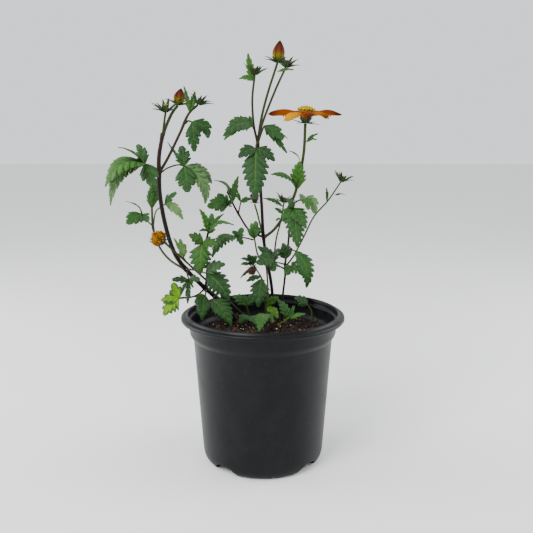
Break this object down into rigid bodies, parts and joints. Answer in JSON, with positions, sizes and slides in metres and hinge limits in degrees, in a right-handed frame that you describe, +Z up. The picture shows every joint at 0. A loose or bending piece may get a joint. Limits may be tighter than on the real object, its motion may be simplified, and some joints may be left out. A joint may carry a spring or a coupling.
{
  "type": "potted bidens",
  "caption": "Young bidens plant with toothed divided leaves, a daisy-like orange flower, buds and spent heads, growing in a round black nursery pot.",
  "frame": {"origin": "centre of the pot's underside, on the plane it stands on", "axes": "+Z up along the pot's axis; -Y towards the side the plant shows best; +X to the right as seen from -Y; millimetres in the source, metres in the row"},
  "size_m": [0.1825, 0.1397, 0.3292],
  "materials": {
    "black_plastic": "satin, dusty",
    "potting_mix": "matt, crumbly",
    "dark_stem": "satin",
    "green_stem": "satin",
    "young_green": "satin",
    "leaf_green": "satin, veined",
    "calyx_green": "matt",
    "red_bud": "satin",
    "orange_petal": "soft, finely ribbed",
    "disc_yellow": "soft",
    "dried_flower": "matt, crinkled"
  },
  "bodies": {
    "root": {"nursery_pot": "black_plastic", "potting_mix": "potting_mix", "left_shoot": "dark_stem", "middle_shoot": "dark_stem", "right_shoot": "dark_stem", "slender_shoot": "green_stem", "short_shoot": "green_stem", "spent_flower_stalk": "green_stem", "seedling": "young_green", "upper_left_leaf": "leaf_green", "upper_right_leaf": "leaf_green", "bud_stalk_leaf": "leaf_green", "crown_left_leaf": "leaf_green", "crown_right_leaf": "leaf_green", "hanging_leaf": "leaf_green", "right_arching_leaf": "leaf_green", "right_hanging_leaf": "leaf_green", "lower_right_leaf": "leaf_green", "lower_right_small_leaf": "leaf_green", "grey_leaf": "leaf_green", "dark_leaf": "leaf_green", "front_hanging_leaf": "leaf_green", "dark_side_leaf": "leaf_green", "arching_leaf": "leaf_green", "three_part_leaf": "leaf_green", "left_branch_leaf": "leaf_green", "grey_green_leaf": "leaf_green", "yellow_green_leaf": "leaf_green", "rim_leaf": "leaf_green", "long_tip_leaf": "leaf_green", "soil_leaf": "leaf_green", "back_rim_leaf": "leaf_green", "inner_right_leaf": "leaf_green", "inner_left_leaf": "leaf_green", "inner_low_leaf": "leaf_green", "side_shoot_left_leaf": "leaf_green", "side_shoot_right_leaf": "leaf_green", "feather_leaf": "leaf_green", "left_round_bud": "calyx_green", "left_red_bud": "red_bud", "left_spiky_bud": "calyx_green", "top_left_bud": "calyx_green", "top_red_bud": "red_bud", "top_right_bud": "calyx_green", "far_right_bud": "calyx_green", "low_spiky_bud": "calyx_green", "flower_calyx": "calyx_green", "flower_disc": "disc_yellow", "petal_1": "orange_petal", "petal_2": "orange_petal", "petal_3": "orange_petal", "petal_4": "orange_petal", "petal_5": "orange_petal", "petal_6": "orange_petal", "petal_7": "orange_petal", "petal_8": "orange_petal", "spent_head": "dried_flower", "fading_head": "orange_petal", "dried_head": "dried_flower"}
  },
  "joints": []
}
